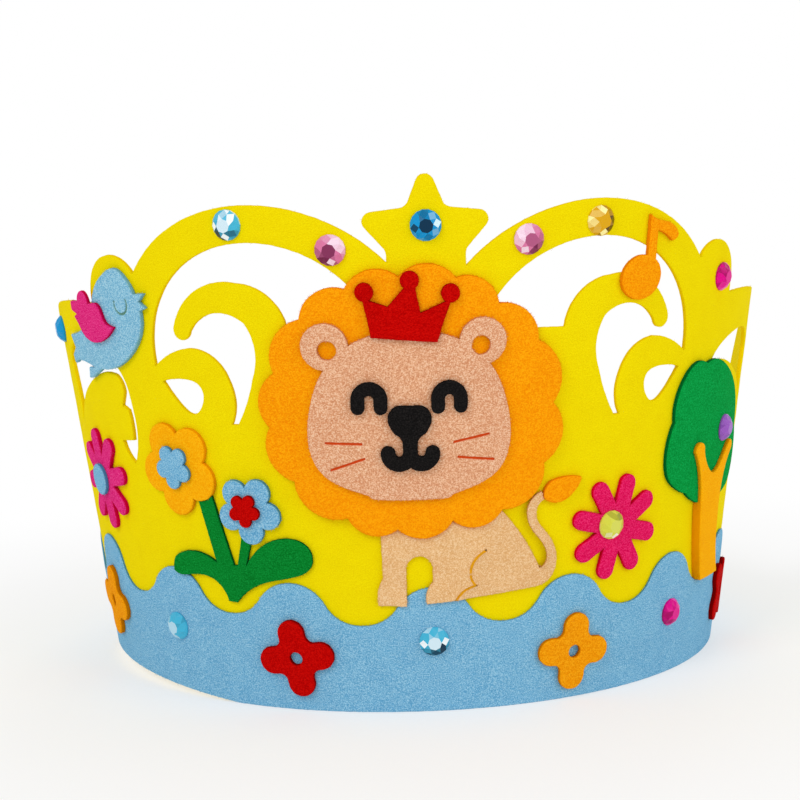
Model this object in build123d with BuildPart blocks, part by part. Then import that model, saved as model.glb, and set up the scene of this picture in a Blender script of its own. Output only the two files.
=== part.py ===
from build123d import *
import os
from math import asin, cos, degrees, radians, sin, sqrt, tan

# Felt dress-up crown. The band widens upward and stands on its rim; the front faces -Y and +Z is up.
# Angles run round the band from the front towards +X, slant heights run up its outside from the floor.

# Band and the lap that closes it at the back
BAND_RADIUS = 88.0
FLARE = 7.44
FELT = 1.2
STRAP_HEIGHT = 47.0
SHEET_HEIGHT = 150.0
INNER_END = 186.0
BEND_START = -160.0
BEND_TURN = 10.0
TAB_END = -204.0
TAPE = 0.8
TAPE_LENGTH = 30.0
TAPE_WIDTH = 22.0
TRIM_START = -50.0
TRIM_ANGLE = 5.7

# Sheets glued on the band, by thickness
STRIP = 0.7
PICTURE = 1.4
TOPPING = 1.2
MANE = 1.8
LION_BODY = 1.4
LION_HEAD = 1.2
LION_FEATURE = 1.2
SEAM = 0.3
REACH = 26.0
LEVEL = 40.0

# Star, arches, lobes and side arches of the band; a place is an angle and a slant height
FRONT_SLANT = 75.0
FACE_SLANT = 75.9
STAR_TIP = 63.0
STAR_NECK = 9.5
STAR_ROUND = 2.2
ARCH_LEFT = (-25.5, 100.0)
ARCH_RIGHT = (25.8, 99.3)
ARCH_CENTRE = (-1.2, -8.0)
ARCH_OUTER = (42.0, 36.5)
ARCH_STRAP = 9.0
ARCH_LEG = 11.0
SHELF = -2.5
SCROLL_FOOT = -11.5
LOBE_LEFT = (-50.2, 105.8)
LOBE_LEFT_RADIUS = 11.7
LOBE_RIGHT = (49.8, 106.5)
LOBE_RIGHT_RADIUS = 10.3
SIDE_LEFT = (-70.0, 80.0)
SIDE_RIGHT = (70.0, 77.8)

# Wavy strip: its crests from the front round to the right, and the trough after each
WAVE_CRESTS = (33, 33.4, 34, 34, 34, 34, 34, 34, 34, 34, 34, 34, 36, 39.6, 35.6, 34)
WAVE_TROUGHS = (22.8, 23, 23, 24, 24, 24, 24, 24, 24, 24, 24, 24, 26, 26.2, 24.6, 22.9)

# Lion, drawn on the front plane
MANE_SWELL = 0.24
FACE_CENTRE = -5.0
EAR_RADIUS = 5.7
EAR_HOLE = 2.3
SLIT = 0.5
BALL_RADIUS = 2.3
EYE_SPACING = 19.3
EYE_WIDTH = 8.8
EYE_STROKE = 3.3
EYE_RISE = 5.6
EYE_FOOT = 2.0
MOUTH_WIDTH = 9.0
MOUTH_STROKE = 3.6
MOUTH_LEVEL = -7.6
NOSE_TOP = 4.1
NOSE_FOOT = -4.8

# Other pictures
DAISY_RIGHT = (30.4, 44.5)
DAISY_LEFT = (-62.9, 56.7)
DAISY_REACH = 13.9
DAISY_PETAL = 5.0
DAISY_EYE = 8.6
RIM_FLOWER_PETAL = 7.2
RIM_FLOWER_REACH = 10.2
RIM_FLOWER_ROUND = 2.0
RIM_FLOWER_HOLE = 1.7
TREE = (54.0, 55.0)

# Stick-on gems
GEM_DIAMETER = 7.5
GEM_GIRDLE = 0.7
GEM_CROWN = 1.5
GEM_SLOPE = 42.0
GEM_SIDES = 12

# Worked out from the values above
TILT = radians(FLARE)
LAP_STEP = FELT + 2 * TAPE
FACE_FRONT = MANE + LION_HEAD
WAVES = len(WAVE_CRESTS)


def spot(angle, radius):
    """Point of the plan at an angle from the front and a distance from the axis."""
    return Vector(radius * sin(radians(angle)), -radius * cos(radians(angle)))


def cone_radius(offset, height):
    """Radius at a height of the cone that lies an offset outside the band's outer face."""
    return BAND_RADIUS + offset / cos(TILT) + height * tan(TILT)


def seat(place, lift=-REACH):
    """Plane along the band at a lift from its outside: x to the right, y up the slope, z straight out."""
    angle, slant = place
    across = spot(angle, 1.0)
    reach = BAND_RADIUS + slant * sin(TILT) + lift * cos(TILT)
    foot = across * reach + Vector(0, 0, slant * cos(TILT) - lift * sin(TILT))
    outward = across * cos(TILT) - Vector(0, 0, sin(TILT))
    return Plane(origin=foot, x_dir=(cos(radians(angle)), sin(radians(angle)), 0), z_dir=outward)


def beside(place, turn, rise):
    """Place a turn further round the band and a rise further up it."""
    return place[0] + turn, place[1] + rise


def sleeve(inner, outer, start=0.0, sweep=360.0):
    """Conical sleeve round the crown's axis between two distances from the band's outside."""
    section = Plane(origin=(0, 0, 0), x_dir=spot(start, 1.0), z_dir=spot(start - 90, 1.0))
    with BuildPart() as ring:
        with BuildSketch(section):
            with BuildLine():
                Polyline(
                    (cone_radius(inner, 0), 0),
                    (cone_radius(outer, 0), 0),
                    (cone_radius(outer, SHEET_HEIGHT), SHEET_HEIGHT),
                    (cone_radius(inner, SHEET_HEIGHT), SHEET_HEIGHT),
                    close=True,
                )
            make_face()
        revolve(axis=Axis.Z, revolution_arc=sweep)
    return ring.part


def bow(centre, start, end):
    """Arc from start to end about a centre, the short way."""
    middle = (start - centre + end - centre).normalized() * (start - centre).length
    ThreePointArc(start, centre + middle, end)


def bend_edges(height, inner, outer):
    """Two bend centres and the two edge paths of the S-bend that lifts the sheet over its inner end."""
    radius = cone_radius(0, height)
    step = LAP_STEP / cos(TILT)
    half = sin(radians(BEND_TURN) / 2) ** 2
    rest = 1 - half
    span = 2 * radius + step
    bend = (sqrt(rest * step**2 + (half * span) ** 2) - rest * step) / (2 * half)
    first = spot(BEND_START, radius + bend)
    second = spot(BEND_START - BEND_TURN, radius + step - bend)
    edges = []
    for offset in (inner / cos(TILT), outer / cos(TILT)):
        start = spot(BEND_START, radius + offset)
        middle = first + (second - first) * ((bend - offset) / (2 * bend))
        end = spot(BEND_START - BEND_TURN, radius + step + offset)
        edges.append((start, middle, end))
    return first, second, edges


def rolled_sheet(inner, outer, inner_end):
    """Sheet rolled round the crown from its inner end to the tab, before its top is cut."""
    tab_start = BEND_START - BEND_TURN
    with BuildPart() as sheet:
        add(sleeve(inner, outer, BEND_START, inner_end - BEND_START))
        add(sleeve(inner + LAP_STEP, outer + LAP_STEP, TAB_END, tab_start - TAB_END))
        for height in (0, SHEET_HEIGHT):
            first, second, edges = bend_edges(height, inner, outer)
            with BuildSketch(Plane.XY.offset(height)):
                with BuildLine():
                    for start, middle, end in edges:
                        bow(first, start, middle)
                        bow(second, middle, end)
                    Line(edges[0][0], edges[1][0])
                    Line(edges[0][2], edges[1][2])
                make_face()
        loft(ruled=True)
    return sheet.part


def strokes(start, *cuts, side=1):
    """Cuts joined end to end: one further point makes a straight cut, two an arc, more a curve."""
    last = (side * start[0], start[1])
    for cut in cuts:
        points = [last] + [(side * x, y) for x, y in cut]
        if len(points) == 2:
            Line(*points)
        elif len(points) == 3:
            ThreePointArc(*points)
        else:
            Spline(*points)
        last = points[-1]


def sides(left, right):
    """Left and right of a pair, each with the sign that mirrors it."""
    return (-1, left), (1, right)


def press(layer):
    """Cuts the drawn outline out of a layer of felt that follows the band, and gives back the whole cut."""
    cut = extrude(amount=2 * REACH)
    add(layer, mode=Mode.INTERSECT)
    return cut


def bed(cut, top):
    """Room that a glued sheet takes up under its own face."""
    with BuildPart() as under:
        add(cut)
        add(sleeve(-FELT, top), mode=Mode.INTERSECT)
    return under.part


def blossom(petals, petal_radius, reach, turn):
    """Round-petalled flower about the sketch's own place."""
    ring = reach - petal_radius
    with PolarLocations(ring, petals, start_angle=turn):
        Circle(petal_radius)
    Circle(ring)


on_band = sleeve(0, PICTURE)
on_strip = sleeve(STRIP, STRIP + PICTURE)
on_picture = sleeve(PICTURE, PICTURE + TOPPING)

front = seat((0, FRONT_SLANT))
face = seat((0, FACE_SLANT))
left_plot = seat((-35.3, 45))
tree_plot = seat(TREE)
bird_plot = seat(beside(LOBE_LEFT, -5.4, -8.8))
note_plot = seat(beside(ARCH_RIGHT, -0.45, 0.7))


# Silhouette of the band: the strap all round and the motifs that rise from it
with BuildPart() as silhouette:
    with BuildSketch(Plane.XY):
        Circle(cone_radius(0, SHEET_HEIGHT) + REACH)
        Circle(cone_radius(-FELT, 0) - REACH, mode=Mode.SUBTRACT)
    extrude(amount=STRAP_HEIGHT)
    with BuildSketch(front) as star:
        with BuildLine():
            Polyline(
                (0, STAR_TIP),
                (4.7, 51.7),
                (17.3, 50.2),
                (STAR_NECK, 41.5),
                (STAR_NECK, LEVEL - FRONT_SLANT),
                (0, LEVEL - FRONT_SLANT),
            )
            mirror(about=Plane.YZ)
        make_face()
        fillet(star.vertices().sort_by(Axis.Y)[2:], STAR_ROUND)
    extrude(amount=2 * REACH)
    for side, place in sides(ARCH_LEFT, ARCH_RIGHT):
        with BuildSketch(seat(place)):
            with Locations((side * ARCH_CENTRE[0], ARCH_CENTRE[1])):
                Ellipse(*ARCH_OUTER)
            with Locations((0, LEVEL - place[1])):
                Rectangle(2 * ARCH_OUTER[1], place[1] - LEVEL, align=(Align.CENTER, Align.MIN))
            Rectangle(2 * REACH, REACH, align=(Align.CENTER, Align.MAX))
        extrude(amount=2 * REACH)
    for place, radius in ((LOBE_LEFT, LOBE_LEFT_RADIUS), (LOBE_RIGHT, LOBE_RIGHT_RADIUS)):
        with BuildSketch(seat(place)):
            Circle(radius)
            Rectangle(2 * radius, place[1] - LEVEL, align=(Align.CENTER, Align.MAX))
        extrude(amount=2 * REACH)
    for side, place in sides(SIDE_LEFT, SIDE_RIGHT):
        foot = LEVEL - place[1]
        shoulder = STRAP_HEIGHT - place[1]
        with BuildSketch(seat(place)):
            with BuildLine():
                strokes(
                    (-40, 22),
                    [(-25, 24.4), (-10, 25.3), (5, 24.9), (14, 23.4), (21, 18.6), (26.4, 10), (30, 0),
                     (33, -11), (39, -24), (52, shoulder)],
                    [(52, foot)],
                    [(-40, foot)],
                    [(-40, 22)],
                    side=side,
                )
            make_face()
        extrude(amount=2 * REACH)

# The rim is trimmed a little askew on the left
with BuildPart() as trim:
    with BuildSketch(Plane.XZ.offset(-2 * BAND_RADIUS)):
        with BuildLine():
            far = TRIM_START - 2 * BAND_RADIUS
            Polyline((TRIM_START, 0), (far, 0), (far, 2 * BAND_RADIUS * tan(radians(TRIM_ANGLE))), close=True)
        make_face()
    extrude(amount=4 * BAND_RADIUS)

band_sheet = rolled_sheet(-FELT, 0, INNER_END)
inner_arch = (ARCH_OUTER[0] - ARCH_LEG, ARCH_OUTER[1] - ARCH_STRAP)
shelf_turn = asin((SHELF - ARCH_CENTRE[1]) / inner_arch[1])
scroll_turn = asin((SCROLL_FOOT - ARCH_CENTRE[1]) / inner_arch[1])
shelf_end = (ARCH_CENTRE[0] - inner_arch[0] * cos(shelf_turn), SHELF)
scroll_end = (ARCH_CENTRE[0] + inner_arch[0] * cos(scroll_turn), SCROLL_FOOT)

with BuildPart() as crown_band:
    add(band_sheet)
    add(silhouette.part, mode=Mode.INTERSECT)
    add(trim.part, mode=Mode.SUBTRACT)
    for side, place in sides(ARCH_LEFT, ARCH_RIGHT):
        # Arch window with the large and the small scroll left standing in it
        first_turn = scroll_turn if side > 0 else shelf_turn
        with BuildSketch(seat(place)):
            with BuildLine():
                EllipticalCenterArc(
                    (side * ARCH_CENTRE[0], ARCH_CENTRE[1]), *inner_arch, start_angle=degrees(first_turn),
                    arc_size=180 - degrees(shelf_turn + scroll_turn),
                )
                strokes(
                    shelf_end,
                    [(-10.8, SHELF)],
                    [(-7.4, 5.3), (2, 9.8)],
                    [(13.6, 8.3), (21.7, -0.8)],
                    [(20.2, -4.3), (16.8, -2.4)],
                    [(8.6, 2.5), (0.6, -0.2)],
                    [(-1.4, -5.6), (-0.2, -13.5)],
                    [(2, -19.6), (5.2, -25.4)],
                    [(6.9, -25.4)],
                    [(5.4, -20), (6.4, -14.8)],
                    [(10.5, -8.8), (17.5, -6.4)],
                    [(23.5, -7.8), scroll_end],
                    side=side,
                )
            make_face()
        extrude(amount=2 * REACH, mode=Mode.SUBTRACT)
        # Drop-shaped window under the small scroll
        with BuildSketch(seat(place)):
            with BuildLine():
                strokes(
                    (27.4, -15.4),
                    [(20.5, -14.4), (15.2, -16.4), (15, -20), (18.2, -23.3), (22.4, -21.2), (27.4, -15.4)],
                    side=side,
                )
            make_face()
        extrude(amount=2 * REACH, mode=Mode.SUBTRACT)
    # Curved slot that leaves a tongue standing in the side arch, with a drop at its foot
    for side, place in sides(SIDE_LEFT, SIDE_RIGHT):
        with BuildSketch(seat(place)):
            with BuildLine():
                strokes(
                    (-30.4, -18.2),
                    [(-33.3, -11.8), (-33.9, -8), (-33.6, -2), (-32.8, 3), (-29.6, 8), (-20, 12.8),
                     (-9, 14.4), (0, 12.6), (4.4, 8)],
                    [(3.4, 3.7), (2.4, -1), (2.6, -8.6)],
                    [(-1.3, -3.9), (-5.5, -0.4), (-13.8, 3.8), (-22.9, 6.2), (-28.6, 5.6)],
                    [(-30.6, 3.4), (-31, 0.6)],
                    [(-29.2, -2.6)],
                    [(-31.6, -3.8)],
                    [(-31.9, -8), (-31.4, -12)],
                    [(-26.2, -12.2)],
                    [(-27.6, -15.6), (-30.4, -18.2)],
                    side=side,
                )
            make_face()
        extrude(amount=2 * REACH, mode=Mode.SUBTRACT)


# Wavy strip along the rim, one crest at the front and the others evenly round
strip_sheet = rolled_sheet(0, STRIP, TAB_END + 360 - SEAM)
wave_half = (BAND_RADIUS + min(WAVE_TROUGHS) * sin(TILT)) * sin(radians(180 / WAVES))
wave_foot = min(WAVE_TROUGHS) / 2

with BuildPart() as wave_outline:
    with BuildSketch(Plane.XY):
        Circle(cone_radius(0, SHEET_HEIGHT) + REACH)
        Circle(cone_radius(0, 0) - REACH, mode=Mode.SUBTRACT)
    extrude(amount=1.3 * wave_foot)
    for wave, crest in enumerate(WAVE_CRESTS):
        top = Vector(0, crest)
        with BuildSketch(seat((wave * 360 / WAVES, 0))):
            with BuildLine():
                for side, trough in sides(WAVE_TROUGHS[wave - 1], WAVE_TROUGHS[wave]):
                    depth = crest - trough
                    wave_radius = (wave_half**2 + depth**2) / (4 * depth)
                    valley = Vector(side * wave_half, trough)
                    middle = (top + valley) / 2
                    bow(top - Vector(0, wave_radius), top, middle)
                    bow(valley + Vector(0, wave_radius), middle, valley)
                    Line(valley, valley + Vector(side * SEAM, 0))
                    Line(valley + Vector(side * SEAM, 0), (side * (wave_half + SEAM), wave_foot))
                Line((-wave_half - SEAM, wave_foot), (wave_half + SEAM, wave_foot))
            make_face()
        extrude(amount=2 * REACH)

with BuildPart() as wave_strip:
    add(strip_sheet)
    add(wave_outline.part, mode=Mode.INTERSECT)
    add(trim.part, mode=Mode.SUBTRACT)

strip_bed = bed(wave_outline.part, STRIP)


# Closure tape between the inner end and the tab
def tape_patch(inner, outer):
    """Oblong of tape in the middle of the lap."""
    middle = (INNER_END + TAB_END + 360) / 2
    with BuildPart() as patch:
        with BuildSketch(seat((middle, STRAP_HEIGHT / 2))):
            RectangleRounded(TAPE_LENGTH, TAPE_WIDTH, 3)
        press(sleeve(inner, outer))
    return patch


loop_patch = tape_patch(0, TAPE)
hook_patch = tape_patch(TAPE, 2 * TAPE)


# Lion: mane, face and body lie on the front plane
with BuildPart() as lion_mane:
    with BuildSketch(front):
        with BuildLine():
            cusps = [
                (-6.8, 35.6), (6.9, 35), (17.3, 28.4), (27, 18.8), (30.7, 3), (28.3, -12), (17.6, -22.8),
                (5.2, -24.8), (-8.4, -26.6), (-20.6, -23.8), (-33.4, -15), (-38.9, -1.6), (-37.4, 12),
                (-30.8, 25.4), (-19.8, 32.8),
            ]
            for here, after in zip(cusps, cusps[1:] + cusps[:1]):
                chord = Vector(*after) - Vector(*here)
                SagittaArc(here, after, MANE_SWELL * chord.length)
        make_face()
    mane_cut = press(sleeve(0, MANE))

with BuildPart() as lion_head:
    with BuildSketch(face):
        with BuildLine():
            Spline(
                (FACE_CENTRE, 21.6), (5.6, 20.4), (15, 13), (18.9, 3), (19.5, -5.5), (15, -14.4),
                (5.1, -18.6), (FACE_CENTRE, -19.6), tangents=[(1, 0), (-1, 0)],
            )
            mirror(about=Plane.YZ.offset(FACE_CENTRE))
        make_face()
        with Locations((-24.9, 18.2), (13.1, 19)):
            Circle(EAR_RADIUS)
        with Locations((-24.3, 17.4), (12.6, 18)):
            Circle(EAR_HOLE, mode=Mode.SUBTRACT)
        # Whiskers are cut right through the sheet
        with Locations(Location((-21, -5.4), -0.6), Location((-20.1, -10.6), 20)):
            SlotOverall(9.2, SLIT, mode=Mode.SUBTRACT)
        with Locations(Location((9.9, -4.6), 10.4), Location((10.9, -9.7), -7.4)):
            SlotOverall(9.2, SLIT, mode=Mode.SUBTRACT)
    head_cut = press(sleeve(MANE, FACE_FRONT))

with BuildPart() as lion_tail_tip:
    with BuildSketch(front):
        with BuildLine():
            strokes(
                (38.2, -17.1),
                [(33, -16.5), (29, -18.2), (28.4, -21.2), (31.6, -22.8), (35.6, -21.2), (38.2, -17.1)],
            )
        make_face()
    tip_cut = press(on_band)

with BuildPart() as lion_body:
    with BuildSketch(front):
        with BuildLine():
            strokes(
                (-12.8, -20),
                [(-12.4, -39.5)],
                [(-13.8, -43.4), (-13.6, -46.6)],
                [(-6.6, -46.6)],
                [(-6.6, -37.4)],
                [(-5.6, -34.8), (-3.3, -33.8), (-1, -34.8), (0, -37.4)],
                [(0, -40.6)],
                [(-1.8, -43.8), (-1.6, -46.1)],
                [(26, -44.1)],
                [(30.6, -41.6), (31.7, -36.5), (29.2, -30.5), (26.5, -26), (26.8, -23.3), (29.4, -21.4)],
                [(27.6, -19.4)],
                [(23.8, -23.6), (24.7, -28.2), (27.9, -33), (28.8, -36.4), (27.2, -39.3)],
                [(22.6, -30.2), (14.6, -20)],
                [(-12.8, -20)],
            )
        make_face()
        # Haunch line, cut right through
        with BuildLine():
            Spline((5, -47), (7.4, -43.4), (10.6, -41.9))
            Spline((10.6, -41.9), (9.3, -38.6), (10.4, -35.3), (13.5, -33))
        trace(line_width=SLIT, mode=Mode.SUBTRACT)
    press(sleeve(0, LION_BODY))
    for neighbour in (mane_cut, tip_cut, strip_bed):
        add(neighbour, mode=Mode.SUBTRACT)

with BuildPart() as lion_crown:
    with BuildSketch(face):
        with BuildLine():
            Polyline(
                (-13.8, 20.7), (-15.8, 30), (-9.7, 27.9), (-5.4, 32.6), (-3, 32.6), (-1.8, 26.3), (5.8, 29.4),
                (2, 19.3), close=True,
            )
        make_face()
        with Locations((-15.2, 31.4), (-4.3, 34), (5.5, 30.7)):
            Circle(BALL_RADIUS)
    press(sleeve(MANE, FACE_FRONT + LION_FEATURE))
    add(bed(head_cut, FACE_FRONT), mode=Mode.SUBTRACT)

features = sleeve(FACE_FRONT, FACE_FRONT + LION_FEATURE)


def half_ring(width, stroke, side):
    """Half of a flat ring at the sketch's own place, the upper half or the lower."""
    Circle(width / 2)
    Circle(width / 2 - stroke, mode=Mode.SUBTRACT)
    away = Align.MAX if side > 0 else Align.MIN
    Rectangle(width, width, align=(Align.CENTER, away), mode=Mode.SUBTRACT)


def lion_eye(side):
    """Closed eye: an upside-down U with rounded ends."""
    centre = FACE_CENTRE + side * EYE_SPACING / 2
    leg = EYE_RISE + EYE_STROKE / 2 - EYE_FOOT
    with BuildPart() as eye:
        with BuildSketch(face):
            with Locations((centre, EYE_RISE)):
                half_ring(EYE_WIDTH, EYE_STROKE, 1)
            for foot in (-1, 1):
                place = centre + foot * (EYE_WIDTH - EYE_STROKE) / 2
                with Locations(Location((place, EYE_FOOT + leg / 2), 90)):
                    SlotOverall(leg, EYE_STROKE)
        press(features)
    return eye


lion_left_eye = lion_eye(-1)
lion_right_eye = lion_eye(1)

with BuildPart() as lion_muzzle:
    smile = (MOUTH_WIDTH - MOUTH_STROKE) / 2
    with BuildSketch(face):
        for side in (-1, 1):
            with Locations((FACE_CENTRE + side * smile, MOUTH_LEVEL)):
                half_ring(MOUTH_WIDTH, MOUTH_STROKE, -1)
            with Locations((FACE_CENTRE + side * 2 * smile, MOUTH_LEVEL)):
                Circle(MOUTH_STROKE / 2)
        with Locations((FACE_CENTRE, MOUTH_LEVEL)):
            Rectangle(MOUTH_STROKE, 2 * MOUTH_STROKE)
        with BuildSketch():
            with BuildLine():
                Spline(
                    (FACE_CENTRE, NOSE_TOP), (FACE_CENTRE + 3.6, NOSE_TOP - 0.3), (FACE_CENTRE + 5.1, 2),
                    (FACE_CENTRE + 5, -0.6), (FACE_CENTRE + 3.4, -3), (FACE_CENTRE + 1.8, NOSE_FOOT),
                    tangents=[(1, 0), (-0.5, -1)],
                )
                Line((FACE_CENTRE + 1.8, NOSE_FOOT), (FACE_CENTRE, NOSE_FOOT))
                mirror(about=Plane.YZ.offset(FACE_CENTRE))
            make_face()
    press(features)


# Bird on the left lobe
with BuildPart() as bird_body:
    with BuildSketch(bird_plot):
        with BuildLine():
            strokes(
                (-18.4, -0.8),
                [(-10, 0.6), (-2, 5), (1.5, 10.4), (4, 13.2), (8.7, 16), (13.5, 17.1), (17.3, 14.6),
                 (19.8, 10.4)],
                [(23.8, 10.4)],
                [(21.3, 8.4)],
                [(23.6, 6.7)],
                [(21.3, 6)],
                [(20.3, 0.6), (16.3, -4.2), (9, -8.2), (-0.1, -9.3)],
                [(-6.4, -11.8)],
                [(-8.8, -12.2)],
                [(-8, -9.2)],
                [(-4.5, -9)],
                [(-8, -8.2), (-15.2, -7.6)],
                [(-18.4, -8.7)],
                [(-19, -6.3)],
                [(-16, -4.2)],
                [(-18.4, -0.8)],
            )
        make_face()
        # Eye ring, cut right through but for a short bridge
        with BuildLine():
            CenterArc((14.3, 8), 2.6, 160, 230)
        trace(line_width=SLIT, mode=Mode.SUBTRACT)
    press(on_band)

with BuildPart() as bird_wing:
    with BuildSketch(bird_plot):
        with BuildLine():
            strokes(
                (11.2, 2.1),
                [(7.3, -0.5), (1.7, -2), (-3.8, -0.8), (-7, 2.4)],
                [(-9.4, 4.8)],
                [(-7.6, 5.4)],
                [(-10.6, 6.4)],
                [(-10.4, 8.8)],
                [(-5.8, 9)],
                [(-4.6, 11), (-1.6, 11.4)],
                [(-0.4, 10.2), (0.2, 8.3)],
                [(3.5, 8.5)],
                [(6.2, 5.8), (7.3, 3.5), (9.1, 2.6), (11.2, 2.1)],
            )
        make_face()
    press(on_picture)


# Flowers and the plant on the left
with BuildPart() as orange_flower:
    with BuildSketch(left_plot):
        with Locations((-9, 17.8)):
            blossom(5, 5.3, 12.5, 48)
    orange_cut = press(on_band)

with BuildPart() as orange_flower_centre:
    with BuildSketch(left_plot):
        with Locations((-9.5, 18.3)):
            blossom(5, 2.3, 5.8, 48)
    press(on_picture)

with BuildPart() as blue_flower:
    with BuildSketch(left_plot):
        with Locations((12, 7.8)):
            blossom(5, 3.5, 8.9, 56)
    blue_cut = press(on_band)

with BuildPart() as blue_flower_centre:
    with BuildSketch(left_plot):
        with Locations((11.6, 8)):
            blossom(5, 1.7, 4.4, 56)
    press(on_picture)

with BuildPart() as plant:
    with BuildSketch(left_plot):
        with BuildLine():
            strokes(
                (2.6, -16.8),
                [(1.4, -13.8), (-1.4, -11.3), (-5.5, -10.4), (-11.5, -10.9), (-14.8, -9.8), (-15, -7.4),
                 (-12.2, -5.2), (-7, -4.2), (0.2, -6.6)],
                [(-3.8, 12.5)],
                [(1, 12.5)],
                [(5.6, -7)],
                [(6.7, -7)],
                [(9.2, 1.4)],
                [(12.1, 0.6)],
                [(9.4, -6.9)],
                [(12, -3.6), (16.4, -0.6), (22.8, 0.3), (27, -2.2), (27.2, -6.8), (22.6, -9.6), (14.6, -11.2),
                 (8.6, -14), (5.2, -17)],
                [(2.6, -16.8)],
            )
        make_face()
    press(on_band)
    for neighbour in (orange_cut, blue_cut, strip_bed):
        add(neighbour, mode=Mode.SUBTRACT)


# Daisies
def daisy(place, turn):
    """Eight-petalled daisy cut from one sheet."""
    with BuildPart() as flower:
        with BuildSketch(seat(place)):
            with PolarLocations(DAISY_REACH / 2 + DAISY_PETAL / 4, 8, start_angle=turn):
                SlotOverall(DAISY_REACH - DAISY_PETAL / 2, DAISY_PETAL)
            Circle(DAISY_PETAL)
        press(on_band)
    return flower


right_daisy = daisy(DAISY_RIGHT, 31)
left_daisy = daisy(DAISY_LEFT, 8)

with BuildPart() as left_daisy_centre:
    with BuildSketch(seat(DAISY_LEFT)):
        Circle(DAISY_EYE / 2)
    press(on_picture)


# Tree on the right
with BuildPart() as tree_foliage:
    with BuildSketch(tree_plot):
        with BuildLine():
            strokes(
                (-21.2, 14.4),
                [(-21.5, 19.4), (-19.4, 25), (-14.6, 29.6), (-8.6, 29.4)],
                [(-3.5, 30.2), (5, 27.6), (15, 19.6), (18.4, 10)],
                [(21, 4), (20, -3.6), (14, -7.8)],
                [(5, -9.6), (-4, -9.2), (-12.6, -5.3)],
                [(-17.4, -3.6), (-21.6, -0.2), (-23.2, 6), (-21.2, 14.4)],
            )
        make_face()
    foliage_cut = press(on_band)

with BuildPart() as tree_trunk:
    with BuildSketch(tree_plot):
        with BuildLine():
            strokes(
                (-0.5, -31),
                [(-3.4, -22), (-5.2, -13), (-6.6, -5), (-11.8, 5.8)],
                [(-10.6, 8), (-7.4, 7.2)],
                [(-2.6, 0.2), (0.2, -0.8), (4, 0.8), (10.4, 6.6)],
                [(12.6, 6.2), (12.4, 4)],
                [(7.6, -3.6), (7, -12), (8.6, -22), (12.6, -31)],
                [(-0.5, -31)],
            )
        make_face()
    press(sleeve(0, PICTURE + TOPPING))
    for neighbour in (bed(foliage_cut, PICTURE), strip_bed):
        add(neighbour, mode=Mode.SUBTRACT)


# Music note across the right arch
with BuildPart() as music_note:
    with BuildSketch(note_plot):
        with Locations(Location((11.4, 8.2), 12)):
            Ellipse(6.4, 5.5)
        with BuildLine():
            strokes(
                (12.8, 11),
                [(13.3, 23.6)],
                [(17, 22), (21.6, 20.6), (23.2, 18.4), (21.2, 16.8)],
                [(18.6, 18.6), (15.8, 19.6)],
                [(15.6, 11)],
                [(12.8, 11)],
            )
        make_face()
    press(on_band)


# Rim flowers on the strip
def rim_flower(place, turn):
    """Four-petalled flower with a punched hole."""
    with BuildPart() as flower:
        with BuildSketch(seat(place)) as outline:
            with Locations(Location((0, 0), turn), Location((0, 0), turn + 90)):
                SlotOverall(2 * RIM_FLOWER_REACH, RIM_FLOWER_PETAL)
            fillet(outline.vertices().sort_by_distance((0, 0, 0))[:4], RIM_FLOWER_ROUND)
            Circle(RIM_FLOWER_HOLE, mode=Mode.SUBTRACT)
        press(on_strip)
    return flower


rim_flower_left = rim_flower((-22.2, 14.4), 8)
rim_flower_right = rim_flower((23.3, 13), -4)
rim_flower_far_left = rim_flower((-68.4, 20.6), -10)
rim_flower_far_right = rim_flower((70, 16), 45)


# Gems
def gem(place, lift):
    """Flat-backed faceted gem stuck on the sheet that lies at the given lift."""
    back = seat(place, lift)
    with BuildPart() as stone:
        with BuildSketch(back):
            RegularPolygon(GEM_DIAMETER / 2, GEM_SIDES)
        extrude(amount=GEM_GIRDLE)
        girdle = stone.faces().sort_by(Axis((0, 0, 0), back.z_dir))[-1]
        extrude(girdle, amount=GEM_CROWN, taper=GEM_SLOPE)
    return stone


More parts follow.
